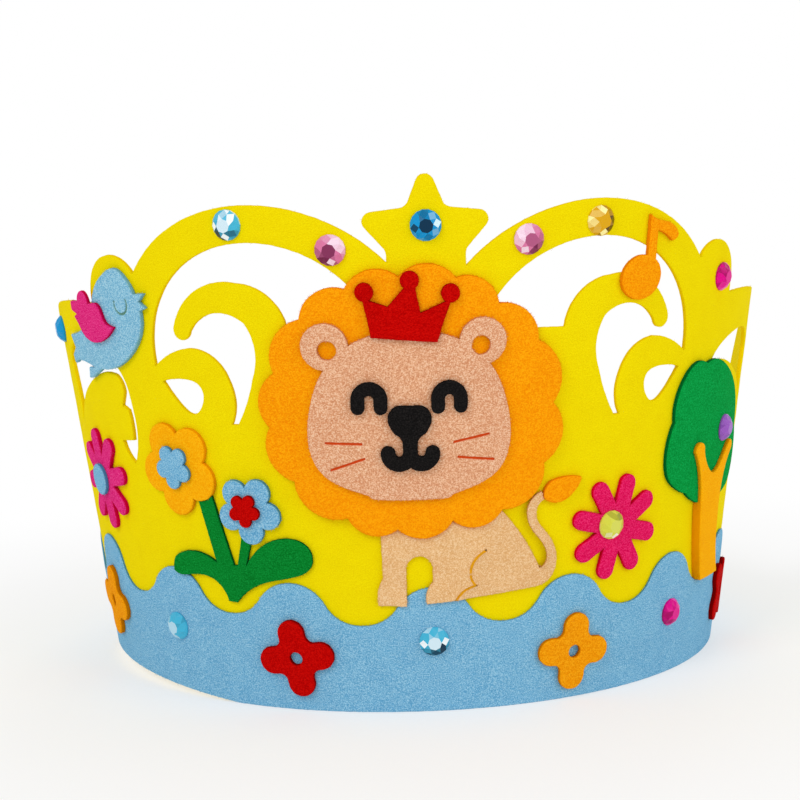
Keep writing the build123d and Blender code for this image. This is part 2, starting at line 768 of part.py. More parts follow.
pieces = {
    "crown_band": crown_band,
    "wave_strip": wave_strip,
    "loop_patch": loop_patch,
    "hook_patch": hook_patch,
    "lion_mane": lion_mane,
    "lion_head": lion_head,
    "lion_body": lion_body,
    "lion_tail_tip": lion_tail_tip,
    "lion_crown": lion_crown,
    "lion_left_eye": lion_left_eye,
    "lion_right_eye": lion_right_eye,
    "lion_muzzle": lion_muzzle,
    "bird_body": bird_body,
    "bird_wing": bird_wing,
    "orange_flower": orange_flower,
    "orange_flower_centre": orange_flower_centre,
    "blue_flower": blue_flower,
    "blue_flower_centre": blue_flower_centre,
    "plant": plant,
    "right_daisy": right_daisy,
    "left_daisy": left_daisy,
    "left_daisy_centre": left_daisy_centre,
    "tree_foliage": tree_foliage,
    "tree_trunk": tree_trunk,
    "music_note": music_note,
    "rim_flower_left": rim_flower_left,
    "rim_flower_right": rim_flower_right,
    "rim_flower_far_left": rim_flower_far_left,
    "rim_flower_far_right": rim_flower_far_right,
    "gem_star": gem((0, FRONT_SLANT + STAR_TIP - 15.5), 0),
    "gem_arch_left": gem(beside(ARCH_LEFT, -1.3, 24), 0),
    "gem_arch_left_inner": gem(beside(ARCH_LEFT, 12.9, 17.3), 0),
    "gem_arch_right": gem(beside(ARCH_RIGHT, -1.4, 23.1), 0),
    "gem_arch_right_inner": gem(beside(ARCH_RIGHT, -12, 19.2), 0),
    "gem_lobe": gem(beside(LOBE_RIGHT, 2, 0.5), 0),
    "gem_side": gem(beside(SIDE_LEFT, -5.6, 17), 0),
    "gem_tree": gem(beside(TREE, 3.8, 10.6), PICTURE),
    "gem_daisy": gem(beside(DAISY_RIGHT, -1.4, 1), PICTURE),
    "gem_rim": gem((0, 19), STRIP),
    "gem_rim_left": gem((-46, 19.2), STRIP),
    "gem_rim_right": gem((45.7, 17.3), STRIP),
}

os.makedirs("parts", exist_ok=True)
for name, piece in pieces.items():
    piece.part.label = name
    export_step(piece.part, f"parts/{name}.step")
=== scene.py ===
from math import cos, radians, sin

import bmesh
import bpy
import numpy as np
from mathutils import Matrix, Vector, noise
from mathutils.bvhtree import BVHTree
from mathutils.geometry import delaunay_2d_cdt
from mathutils.kdtree import KDTree


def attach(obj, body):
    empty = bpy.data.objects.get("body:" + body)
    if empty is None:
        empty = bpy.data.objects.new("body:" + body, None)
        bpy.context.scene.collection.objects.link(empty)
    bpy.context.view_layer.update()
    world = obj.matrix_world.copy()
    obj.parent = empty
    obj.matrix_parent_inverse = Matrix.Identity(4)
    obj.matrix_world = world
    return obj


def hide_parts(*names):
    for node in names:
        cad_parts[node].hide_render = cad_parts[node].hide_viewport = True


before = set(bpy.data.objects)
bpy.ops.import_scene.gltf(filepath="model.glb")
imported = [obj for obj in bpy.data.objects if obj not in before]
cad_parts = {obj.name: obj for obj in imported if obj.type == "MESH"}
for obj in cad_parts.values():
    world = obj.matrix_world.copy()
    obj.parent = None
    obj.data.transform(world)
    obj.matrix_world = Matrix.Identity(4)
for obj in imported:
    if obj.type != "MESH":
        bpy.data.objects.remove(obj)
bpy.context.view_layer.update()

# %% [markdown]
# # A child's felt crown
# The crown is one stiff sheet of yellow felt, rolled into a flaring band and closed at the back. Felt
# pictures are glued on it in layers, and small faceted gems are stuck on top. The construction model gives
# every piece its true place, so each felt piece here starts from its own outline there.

MM = 0.001

# %% [markdown]
# ## The band as a flat sheet
# A flaring band is a piece of a cone. A cone unrolls flat without stretching, so any place on the crown can
# be given by its angle round from the front, its slant height up the felt and its distance out from the
# band's outer face. Outlines are meshed on the flat sheet, which is easy, and then rolled up again.

# %% Rolling and unrolling
BAND_RADIUS = 88 * MM
FLARE = radians(7.44)
MEAN_RADIUS = 96 * MM
FELT = 1.2 * MM
STRIP = 0.7 * MM
LAP_STEP = 2.8 * MM
BEND_START = radians(-160)
BEND_TURN = radians(10)


def unroll(points):
    """Angle, slant height and distance out of points of the crown."""
    reach = np.hypot(points[:, 0], points[:, 1]) - BAND_RADIUS
    angle = np.arctan2(points[:, 0], -points[:, 1])
    slant = reach * sin(FLARE) + points[:, 2] * cos(FLARE)
    out = reach * cos(FLARE) - points[:, 2] * sin(FLARE)
    return angle, slant, out


def roll(angle, slant, out):
    """Points of the crown from angle, slant height and distance out."""
    reach = BAND_RADIUS + slant * sin(FLARE) + out * cos(FLARE)
    height = slant * cos(FLARE) - out * sin(FLARE)
    return np.stack([reach * np.sin(angle), -reach * np.cos(angle), height], axis=1)


def lap_lift(angle):
    """How far the sheet steps out where it laps over its own other end at the back."""
    share = np.clip((BEND_START - angle) / BEND_TURN, 0, 1)
    return LAP_STEP * np.where(share < 0.5, 2 * share**2, 1 - 2 * (1 - share) ** 2)


# %% [markdown]
# ## Reading a cut line
# Felt is cut with a knife die, so a piece is known by the line of its edge. That line is where the outer
# face of the piece in the construction model ends. Following the face's own direction keeps the felt on the
# left of the line, for outside edges and holes alike.

# %% Cut lines of a piece
OUTER_FACE = 0.7
WELD = 2e-6
# At the back the outer end's angle goes on below minus a half turn, and the inner end's above a half turn.
LAP_SIDE = 1.2 * MM
OVERLAP_FROM = radians(150)
UNDERLAP_FROM = radians(-172)
FULL_TURN = radians(360)


def cut_lines(name, lapped):
    """Closed outlines of a piece's outer face on the flat sheet, and how far in and out it goes."""
    shape = bmesh.new()
    shape.from_mesh(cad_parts[name].data)
    bmesh.ops.remove_doubles(shape, verts=shape.verts, dist=WELD)
    shape.normal_update()
    shape.verts.index_update()
    points = np.array([v.co for v in shape.verts])
    angle, slant, out = unroll(points)
    if lapped:
        over = (angle > OVERLAP_FROM) & (out > LAP_SIDE)
        angle = np.where(over, angle - FULL_TURN, angle)
        under = (angle < UNDERLAP_FROM) & (out < LAP_SIDE)
        angle = np.where(under, angle + FULL_TURN, angle)
    else:
        middle = np.arctan2(np.sin(angle).mean(), np.cos(angle).mean())
        angle = middle + (angle - middle + np.pi) % (2 * np.pi) - np.pi
    after = {}
    for face in shape.faces:
        face.tag = outward(face.calc_center_median()).dot(face.normal) > OUTER_FACE
    for face in shape.faces:
        if face.tag:
            for corner in face.loops:
                if not any(other.tag for other in corner.edge.link_faces if other is not face):
                    after[corner.vert.index] = corner.link_loop_next.vert.index
    shape.free()
    flat = np.stack([angle * MEAN_RADIUS, slant], axis=1)
    lines = []
    while after:
        start, here = after.popitem()
        line = [start]
        while here != start and here in after:
            line.append(here)
            here = after.pop(here)
        lines.append(flat[line])
    return [line for line in lines if len(line) > 2], out.min(), out.max()


def outward(point):
    """Direction straight out of the band at a point."""
    across = Vector((point[0], point[1], 0)).normalized()
    return across * cos(FLARE) - Vector((0, 0, sin(FLARE)))


# %% [markdown]
# ## Even steps along the edge
# The line comes with points as the construction needed them. A soft edge wants even steps, with the true
# corners kept. A knife through felt never leaves a perfect line, so each step also strays by a few
# hundredths of a millimetre. The strip's line has two narrow slots behind the crown, which a wavy edge
# doesn't have, so they are closed.

# %% Stepping along a cut line
CORNER = radians(32)
STRAY = 0.07 * MM
STRAY_GRAIN = 0.9 * MM
SLOT_WIDTH = 1.2 * MM
SLOT_LENGTH = 8 * MM
SLOT_POINTS = 14
SHORTEST = 1e-9
NOISE_LEVEL = 7.3


def lengths(points):
    """Length of an open line up to each of its points."""
    return np.concatenate([[0], np.cumsum(np.hypot(*np.diff(points, axis=0).T))])


def even_steps(line, step):
    """Points along a closed line at about a step, with its corners kept."""
    ahead = np.roll(line, -1, axis=0) - line
    course = np.arctan2(ahead[:, 1], ahead[:, 0])
    turn = np.abs((course - np.roll(course, 1) + np.pi) % (2 * np.pi) - np.pi)
    corners = list(np.flatnonzero(turn > CORNER)) or [0]
    points = []
    for first, last in zip(corners, corners[1:] + [corners[0] + len(line)]):
        run = line[np.arange(first, last + 1) % len(line)]
        length = lengths(run)
        count = max(1, round(length[-1] / step))
        at = np.linspace(0, length[-1], count + 1)[:-1]
        points.append(np.stack([np.interp(at, length, run[:, i]) for i in (0, 1)], axis=1))
    return np.concatenate(points)


def without_slots(line):
    """A closed line without narrow slots, which a wavy edge doesn't have."""
    kept, index = [], 0
    while index < len(line):
        kept.append(index)
        ahead = line[np.arange(index, index + SLOT_POINTS) % len(line)]
        across = np.hypot(*(ahead - line[index]).T)
        closed = np.flatnonzero((across < SLOT_WIDTH) & (lengths(ahead) > SLOT_LENGTH))
        index += closed[-1] if len(closed) else 1
    return line[kept]


def left_of(line):
    """Unit directions to the left of a closed line at its points."""
    course = np.roll(line, -1, axis=0) - np.roll(line, 1, axis=0)
    course /= np.maximum(np.hypot(*course.T), SHORTEST)[:, None]
    return np.stack([-course[:, 1], course[:, 0]], axis=1)


def stray(points, size, grain):
    """Smooth random numbers at flat points, the same at each run."""
    return np.array([size * noise.noise((x / grain, y / grain, NOISE_LEVEL)) for x, y in points])


# %% [markdown]
# ## A sheet of felt with soft edges
# Extruding the outline would give a plate with sharp rims. Cut felt has rims that roll over, and a face
# that is a little uneven. The flat outline is filled with triangles that are fine near the edge and coarse
# in the middle. Then every point is lowered by how near it is to the edge, and the sheet is closed with a
# back and a wall, so that it is a solid piece of cloth. The lion's whiskers and the line of its haunch are
# only pressed in: they stay in the sheet as narrow dips, painted with the felt below in shade. Loose fibres
# stick out of the wall as thin slivers.

# %% Meshing one sheet of felt
# Rows beside the edge, as shares of the rim, and how much of that they keep clear of every edge.
RIM_ROWS = (0.16, 0.42, 0.8)
ROW_CLEAR = 0.8
# How far the grid keeps from edges, in shares of the rim and of its spacing, and the step of its rows.
GRID_PAST_RIM = 1.3
GRID_PAST_EDGE = 0.6
GRID_ROW = 0.87
# Shares of the step at which edges are sampled, for the rows and for the grid.
FINE_SHARE = 1 / 4
COARSE_SHARE = 1 / 2
# Kinds of filling: the whole hull, or inside the lines alone. Points nearer than the last are one.
FILL_HULL = 0
FILL_INSIDE = 1
FILL_NEAR = 1e-8
FAR_AWAY = 1.0
SLIT_WIDTH = 0.8 * MM
SLIT_DEPTH = 0.4 * MM
SLIT_SHOULDER = 0.08 * MM
# A pressed line that runs out at the edge: how many points apart its sides are at least, and its width.
BAY_STEPS = 3
BAY_REACH = 0.95 * MM
EDGE_SAMPLES = 6
FIBRE_REACH = 0.75 * MM
# Ranges of chance: a fibre's length, its height on the wall and its rise, all as shares.
FIBRE_REACHES = (0.35, 1)
FIBRE_LEVELS = (0.3, 1)
FIBRE_RISES = (-0.2, 0.6)
FIBRE_HALF = 0.045 * MM
FIBRE_ROOT = 0.1 * MM
FIBRE_LEAN = radians(65)
FIBRE_SIDES = np.array([[0, 1, 2], [1, 0, 3], [2, 1, 3], [0, 2, 3]])
BACK_RIM = 0.2 * MM


def rounded(distance, radius):
    """How far a rolled rim falls at a distance from the edge."""
    near = np.clip(radius - distance, 0, radius)
    return radius - np.sqrt(radius**2 - near**2)


def dense(lines, step):
    """Points close together along closed lines."""
    return np.concatenate([even_steps(line, step) for line in lines])


def along(flat, pairs):
    """Points close together along edges of a flat mesh."""
    ends = flat[np.array(pairs, dtype=int).reshape(-1, 2)]
    share = np.arange(EDGE_SAMPLES)[:, None, None] / EDGE_SAMPLES
    return (ends[:, 0] * (1 - share) + ends[:, 1] * share).reshape(-1, 2)


def nearest(points, samples):
    """Distance of flat points to the nearest of some samples."""
    if not len(samples):
        return np.full(len(points), FAR_AWAY)
    tree = KDTree(len(samples))
    for index, (x, y) in enumerate(samples):
        tree.insert((x, y, 0), index)
    tree.balance()
    return np.array([tree.find((x, y, 0))[2] for x, y in points])


def is_slit(line):
    """True for a narrow line pressed in the felt, which doesn't cut a piece out of it."""
    ahead = np.roll(line, -1, axis=0)
    area = abs(np.sum(line[:, 0] * ahead[:, 1] - line[:, 1] * ahead[:, 0])) / 2
    return area < SLIT_WIDTH * np.hypot(*(ahead - line).T).sum() / 2


def on_felt(flat, edges, faces, is_cut):
    """The triangles with felt in them: from there to far outside, an odd number of cuts is crossed."""
    beside = {}
    for index, face in enumerate(faces):
        for a, b in zip(face, face[1:] + face[:1]):
            beside.setdefault((min(a, b), max(a, b)), []).append(index)
    cuts = {(min(pair), max(pair)) for pair, cut in zip(edges, is_cut) if cut}
    near = [[] for _ in faces]
    for pair, sides in beside.items():
        if len(sides) == 2 and pair not in cuts:
            near[sides[0]].append(sides[1])
            near[sides[1]].append(sides[0])
    ends = flat[np.array(sorted(cuts))]
    kept, done = [], set()
    for start in range(len(faces)):
        if start in done:
            continue
        region, todo = [], [start]
        done.add(start)
        while todo:
            here = todo.pop()
            region.append(here)
            todo += [other for other in near[here] if other not in done]
            done.update(near[here])
        x, y = flat[faces[start]].mean(0)
        level = (ends[:, 0, 1] > y) != (ends[:, 1, 1] > y)
        low, high = ends[level, 0], ends[level, 1]
        slope = (high[:, 0] - low[:, 0]) / (high[:, 1] - low[:, 1])
        beyond = low[:, 0] + (y - low[:, 1]) * slope > x
        if beyond.sum() % 2:
            kept += region
    return kept


def in_bay(flat, faces, kept, place, count):
    """The triangles in a slit that runs out at the edge: small, between far parts of the outline."""
    found = []
    for index in set(range(len(faces))) - set(kept):
        at, corners = place[faces[index]], flat[faces[index]]
        apart = np.abs(at - np.roll(at, 1))
        reach = np.hypot(*(corners - np.roll(corners, 1, axis=0)).T).max()
        if at.min() >= 0 and np.minimum(apart, count - apart).max() > BAY_STEPS and reach < BAY_REACH:
            found.append(index)
    return found


def hexagons(low, high, spacing):
    """Points in rows, each row half a step aside from the last."""
    rows = []
    for index, y in enumerate(np.arange(low[1], high[1], spacing * GRID_ROW)):
        x = np.arange(low[0] + spacing * (index % 2) / 2, high[0], spacing)
        rows.append(np.stack([x, np.full(len(x), y)], axis=1))
    return np.concatenate(rows)


def mesh_points(edge, step, spacing, rim):
    """Points of the edge, of rows beside it and of a grid in the middle."""
    points = [np.concatenate(edge)]
    fine, coarse = dense(edge, step * FINE_SHARE), dense(edge, step * COARSE_SHARE)
    for share in RIM_ROWS:
        row = np.concatenate([line + left_of(line) * share * rim for line in edge])
        points.append(row[nearest(row, fine) > ROW_CLEAR * share * rim])
    grid = hexagons(points[0].min(0), points[0].max(0), spacing)
    clear = max(GRID_PAST_RIM * rim, GRID_PAST_EDGE * spacing)
    points.append(grid[nearest(grid, coarse) > clear])
    return [Vector(p) for p in np.concatenate(points)]


def flat_mesh(lines, step, spacing, rim, bayed):
    """Triangles on the flat sheet inside cut lines, and how far each point is from an edge and a slit."""
    edge = [even_steps(line, step) for line in lines]
    edge = [line + left_of(line) * stray(line, STRAY, STRAY_GRAIN)[:, None] for line in edge]
    cuts = [line for line in edge if not is_slit(line)]
    edge = cuts + [line for line in edge if is_slit(line)]
    pairs = []
    for line in edge:
        first = len(pairs)
        pairs += [(first + i, first + (i + 1) % len(line)) for i in range(len(line))]
    points = mesh_points(edge, step, spacing, rim)
    filled = delaunay_2d_cdt(points, pairs, [], FILL_HULL if bayed else FILL_INSIDE, FILL_NEAR)
    flat = np.array([tuple(p) for p in filled[0]])
    edges, triangles, from_points, from_pairs = filled[1:5]
    cut_count = sum(len(line) for line in cuts)
    is_cut = [any(index < cut_count for index in sources) for sources in from_pairs]
    kept = on_felt(flat, edges, triangles, is_cut)
    if bayed:
        place = np.array([min(sources, default=-1) for sources in from_points])
        kept += in_bay(flat, triangles, kept, np.where(place < cut_count, place, -1), cut_count)
    faces = np.array([triangles[index] for index in sorted(kept)])
    lone = rim_pairs(faces)
    at_rim = {frozenset(pair) for pair in lone}
    lined = [pair for pair, sources in zip(edges, from_pairs) if sources]
    pressed = [pair for pair in lined if frozenset(pair) not in at_rim]
    to_edge = nearest(flat, along(flat, lone))
    to_slit = nearest(flat, along(flat, pressed))
    used = np.unique(faces)
    place = np.full(len(flat), -1)
    place[used] = np.arange(len(used))
    return flat[used], place[faces], to_edge[used], to_slit[used]


def triangle_edges(faces):
    """The three edges of each triangle, in the direction it goes round."""
    return np.concatenate([faces[:, [0, 1]], faces[:, [1, 2]], faces[:, [2, 0]]])


def rim_pairs(faces):
    """Edges with a triangle on one side alone."""
    edges = {tuple(pair) for pair in triangle_edges(faces).tolist()}
    return [(a, b) for a, b in edges if (b, a) not in edges]


def loose_fibres(flat, faces, front, back, per_metre, draw):
    """Thin pointed fibres that stick out of the cut edge: points of the flat sheet, and triangles."""
    rim = np.array(rim_pairs(faces))
    ahead = flat[rim[:, 1]] - flat[rim[:, 0]]
    length = np.hypot(*ahead.T)
    count = int(length.sum() * per_metre)
    pick = draw.choice(len(rim), count, p=length / length.sum())
    course = ahead[pick] / length[pick, None]
    away = np.stack([course[:, 1], -course[:, 0]], axis=1)
    lean = draw.uniform(-FIBRE_LEAN, FIBRE_LEAN, (count, 1))
    way = away * np.cos(lean) + course * np.sin(lean)
    foot = flat[rim[pick, 0]] + ahead[pick] * draw.random((count, 1)) - way * FIBRE_ROOT
    low, high = back[rim[pick, 0]], front[rim[pick, 0]]
    level = low + (high - low) * draw.uniform(*FIBRE_LEVELS, count)
    reach = FIBRE_REACH * draw.uniform(*FIBRE_REACHES, count)
    rise = reach * draw.uniform(*FIBRE_RISES, count)
    aside = np.stack([-way[:, 1], way[:, 0]], axis=1) * FIBRE_HALF
    tip = np.column_stack([foot + way * reach[:, None], level + rise])
    corners = (
        np.column_stack([foot + aside, level - FIBRE_HALF]),
        np.column_stack([foot - aside, level - FIBRE_HALF]),
        np.column_stack([foot, level + FIBRE_HALF]),
        tip,
    )
    above_floor = tip[:, 1] * cos(FLARE) > tip[:, 2] * sin(FLARE)
    points = np.stack(corners, axis=1)[above_floor].reshape(-1, 3)
    firsts = np.arange(0, len(points), len(corners))
    return points, (firsts[:, None, None] + FIBRE_SIDES).reshape(-1, 3)


def closed_sheet(flat, faces, front, back, slit, fibres, name):
    """Mesh object of a sheet with a front, a back and the wall between them, its rim and slits marked for
    painted shade.
    """
    count = len(flat)
    sheet = np.concatenate([np.column_stack([flat, front]), np.column_stack([flat, back]), fibres[0]])
    points = roll(sheet[:, 0] / MEAN_RADIUS, sheet[:, 1], sheet[:, 2])
    rim = rim_pairs(faces)
    solid = faces.tolist() + (faces[:, ::-1] + count).tolist()
    solid += [(b, a, a + count, b + count) for a, b in rim]
    solid += (fibres[1] + 2 * count).tolist()
    mesh = bpy.data.meshes.new(name)
    mesh.from_pydata(points.tolist(), [], solid)
    mesh.shade_smooth()
    plan = mesh.attributes.new("plan", "FLOAT_VECTOR", "POINT")
    plan.data.foreach_set("vector", sheet.astype(np.float32).ravel())
    at_rim = np.zeros(count)
    at_rim[[a for a, b in rim]] = 1
    # The rim and slit marks only carry painted shade into the felt's colour.
    for mark, value in (("rim", at_rim), ("slit", slit)):
        made = mesh.attributes.new(mark, "FLOAT", "POINT")
        whole = np.concatenate([value, value, np.zeros(len(fibres[0]))])
        made.data.foreach_set("value", whole.astype(np.float32))
    piece = bpy.data.objects.new(name, mesh)
    bpy.context.scene.collection.objects.link(piece)
    return piece


def flat_size(flat, faces):
    """Width, length and area of a sheet before it is rolled up."""
    true = flat.copy()
    true[:, 0] *= (BAND_RADIUS + flat[:, 1] * sin(FLARE)) / MEAN_RADIUS
    one = true[faces[:, 1]] - true[faces[:, 0]]
    two = true[faces[:, 2]] - true[faces[:, 0]]
    area = np.abs(one[:, 0] * two[:, 1] - one[:, 1] * two[:, 0]).sum() / 2
    return *np.ptp(true, axis=0).tolist(), float(area)


# %% [markdown]
# ## How a sheet lies
# Most pieces lie flat on the band. A few cross the edge of another piece: the small red crown goes from
# the face down to the mane, and the lion's feet step up on the strip. Cloth bends over such a step. A thin
# membrane that is pulled down, and held up by what is under it, gives that bend in a few lines.

# %% Letting a sheet settle
PULL = 0.012 * MM
SETTLING = 160
PROBE = 4 * MM
PROBE_MARGIN = 0.12 * MM


def under_side(name, flat, to_edge, lowest):
    """Where the back of the construction's piece is under each flat point."""
    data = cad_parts[name].data
    shape = BVHTree.FromPolygons([v.co for v in data.vertices], [p.vertices for p in data.polygons])
    start = roll(flat[:, 0] / MEAN_RADIUS, flat[:, 1], np.full(len(flat), lowest - PROBE))
    found = np.full(len(flat), np.nan)
    for index in np.flatnonzero(to_edge > PROBE_MARGIN):
        hit = shape.ray_cast(Vector(start[index]), outward(start[index]))
        if hit[0] is not None:
            found[index] = lowest - PROBE + hit[3]
    known = np.flatnonzero(~np.isnan(found))
    tree = KDTree(len(known))
    for index in known:
        tree.insert((*flat[index], 0), index)
    tree.balance()
    for index in np.flatnonzero(np.isnan(found)):
        found[index] = found[tree.find((*flat[index], 0))[1]]
    return found


def settled(held_up, faces):
    """Height of a cloth over what holds it up."""
    edges = triangle_edges(faces)
    edges = np.concatenate([edges, edges[:, ::-1]])
    count = np.bincount(edges[:, 0], minlength=len(held_up))
    height = np.full(len(held_up), held_up.max())
    for _ in range(SETTLING):
        middle = np.bincount(edges[:, 0], height[edges[:, 1]], len(held_up)) / count
        height = np.maximum(held_up, middle - PULL)
    return height


# %% [markdown]
# ## Colours
# Colours are written as the hex values that a colour picker shows. Blender's shaders work in linear light,
# so one function converts them.

# %% Hex to linear colour
def linear(code):
    """Linear colour with alpha from an sRGB hex code."""
    parts = [int(code[i:i + 2], 16) / 255 for i in (0, 2, 4)]
    return [c / 12.92 if c <= 0.04045 else ((c + 0.055) / 1.055) ** 2.4 for c in parts] + [1.0]


# %% [markdown]
# ## Adding shader nodes
# One helper adds any node, sets its properties and fills or links its inputs.

# %% Node helper
def node(tree, kind, inputs=(), **settings):
    """New shader node with settings, and inputs that are values or other sockets."""
    made = tree.nodes.new(kind)
    for key, value in settings.items():
        setattr(made, key, value)
    for key, value in dict(inputs).items():
        if isinstance(value, bpy.types.NodeSocket):
            tree.links.new(value, made.inputs[key])
        else:
            made.inputs[key].default_value = value
    return made


# %% [markdown]
# ## Needle-punched felt
# Craft felt is a mat of dyed polyester fibres, punched together with barbed needles. Seen close, it has no
# weave: it is a mottle of lighter and darker fibre ends with short fibres lying across in all directions.
# The colour is mixed from a fine mottle, slow changes of density and streaks. Light goes into a cut edge
# and comes out deeper in colour; that deeper colour and the shade on the wall are painted onto the rim. The
# pressed lines are painted with the colour of the felt below them in shade. The surface is rough and matt,
# and the mottle and the streaks lift it as bump.

# %% Felt material
MOTTLE = 0.32 * MM
CLOUD = 6 * MM
FIBRE_LENGTH = 1.5 * MM
# Real fibres are near 0.03 mm thick, which is too fine to show, so streaks are drawn wider.
FIBRE_WIDTH = 0.24 * MM
FIBRE_TURNS = (15, 60, 105, 150)
NAP = 0.12 * MM
NAP_STRENGTH = 0.6
# The values of each noise between which its share of colour goes from none to all.
DARKER = (0.5, 0.4)
LIGHTER = (0.51, 0.61)
STREAKED = (0.6, 0.75)
DENSER = (0.4, 0.7)
DENSE_SHARE = 0.3
# Sockets of the colour mix: its share, the two colours and the result.
MIX_SHARE, MIX_FROM, MIX_TO, MIXED = 0, 6, 7, 2


def graded(tree, value, ends, most):
    """Share that grows from none to the most as a value goes from one end to the other."""
    return node(tree, "ShaderNodeMapRange", {
        "Value": value, "From Min": ends[0], "From Max": ends[1], "To Max": most}).outputs[0]


def fibre_streaks(tree, plan):
    """Noise stretched along several directions, the strongest at each point."""
    streaks = []
    for turn in FIBRE_TURNS:
        laid = node(tree, "ShaderNodeMapping", {
            "Vector": plan, "Rotation": (0, 0, radians(turn)),
            "Scale": (1 / FIBRE_LENGTH, 1 / FIBRE_WIDTH, 1 / FIBRE_LENGTH)}).outputs["Vector"]
        streaks.append(node(tree, "ShaderNodeTexNoise", {
            "Vector": laid, "Scale": 1.0, "Detail": 1.0, "Distortion": 0.5}).outputs["Fac"])
    strongest = streaks[0]
    for streak in streaks[1:]:
        strongest = node(tree, "ShaderNodeMath", {0: strongest, 1: streak}, operation="MAXIMUM").outputs[0]
    return strongest


def felt(name, colour, dark, light, cut, slit=None, mottle=0.7, fibres=0.3):
    """Felt of one colour with darker and lighter fibres, and painted shade on its cut edge and in its
    pressed lines.
    """
    made = bpy.data.materials.new(name)
    made.use_nodes = True
    tree = made.node_tree
    tree.nodes.clear()
    plan = node(tree, "ShaderNodeAttribute", attribute_name="plan").outputs["Vector"]
    rim = node(tree, "ShaderNodeAttribute", attribute_name="rim").outputs["Fac"]
    pressed = node(tree, "ShaderNodeAttribute", attribute_name="slit").outputs["Fac"]
    fine = node(tree, "ShaderNodeTexNoise", {
        "Vector": plan, "Scale": 1 / MOTTLE, "Detail": 2.0, "Roughness": 0.6}).outputs["Fac"]
    cloud = node(tree, "ShaderNodeTexNoise", {
        "Vector": plan, "Scale": 1 / CLOUD, "Detail": 3.0}).outputs["Fac"]
    streaks = fibre_streaks(tree, plan)
    layers = (
        (graded(tree, cloud, DENSER, DENSE_SHARE), dark),
        (graded(tree, fine, DARKER, mottle), dark),
        (graded(tree, fine, LIGHTER, mottle), light),
        (graded(tree, streaks, STREAKED, fibres), light),
        # Painted shade: the cut wall gets its deeper colour.
        (rim, cut),
        # Painted shade: pressed lines get the colour of the felt below them in shade.
        (pressed, slit or cut),
    )
    tone = linear(colour)
    for amount, shade in layers:
        mixed = node(tree, "ShaderNodeMix", {
            MIX_SHARE: amount, MIX_FROM: tone, MIX_TO: linear(shade)}, data_type="RGBA")
        tone = mixed.outputs[MIXED]
    height = node(tree, "ShaderNodeMath", {0: fine, 1: streaks}, operation="ADD").outputs[0]
    bump = node(tree, "ShaderNodeBump", {
        "Height": height, "Distance": NAP, "Strength": NAP_STRENGTH}).outputs[0]
    surface = node(tree, "ShaderNodeBsdfPrincipled", {
        "Base Color": tone, "Roughness": 0.95, "Normal": bump, "Specular IOR Level": 0.02}).outputs[0]
    node(tree, "ShaderNodeOutputMaterial", {"Surface": surface})
    return made


# Main colour, darker and lighter fibres, painted shade at the cut edge and in pressed lines, then the share
# of mottle and of streaks.
FELTS = {
    "yellow_felt": felt("yellow_polyester_felt", "EFD902", "E5C802", "F8E60C", "EDCA02", None, 0.5, 0.2),
    "blue_felt": felt("blue_polyester_felt", "72B1D4", "4E92BE", "A8D2E6", "4A8AB2"),
    "pale_blue_felt": felt("pale_blue_polyester_felt", "84BED8", "5A9ABE", "B4DAE8", "74AECB", "6E9A86"),
    "orange_felt": felt("orange_polyester_felt", "FA9A03", "EC8002", "FFB010", "EA8600"),
    "amber_felt": felt("amber_polyester_felt", "FDAE04", "EE9602", "FFC41C", "EC9A00", None, 0.6),
    "deep_amber_felt": felt("deep_amber_polyester_felt", "F49806", "E08002", "FDB41C", "D47800"),
    "peach_felt": felt("peach_polyester_felt", "E3A67D", "C68058", "F4CCAA", "C4855A", "D9501E", 0.8),
    "pale_peach_felt": felt(
        "pale_peach_polyester_felt", "E8B87F", "D39C60", "F4D4A8", "CE944E", "E09C1C"),
    "red_felt": felt("red_polyester_felt", "BD0201", "A00101", "D2100A", "8A0000"),
    "black_felt": felt("black_polyester_felt", "151414", "0C0B0B", "282524", "0A0909"),
    "magenta_felt": felt("magenta_polyester_felt", "E30D58", "C80446", "F23C7C", "D20028"),
    "rose_felt": felt("rose_polyester_felt", "E02078", "C40A62", "F0549A", "C80040"),
    "green_felt": felt("green_polyester_felt", "04953D", "027C2E", "14AE54", "00602A"),
    "dark_green_felt": felt("dark_green_polyester_felt", "057C28", "03661C", "14983E", "00501C"),
    "closure_tape": felt(
        "white_brushed_nylon_tape", "F2F0E8", "D8D6CC", "FFFFFF", "DEDCD2", None, 0.7, 0.6),
}
print(len(FELTS), "felts")
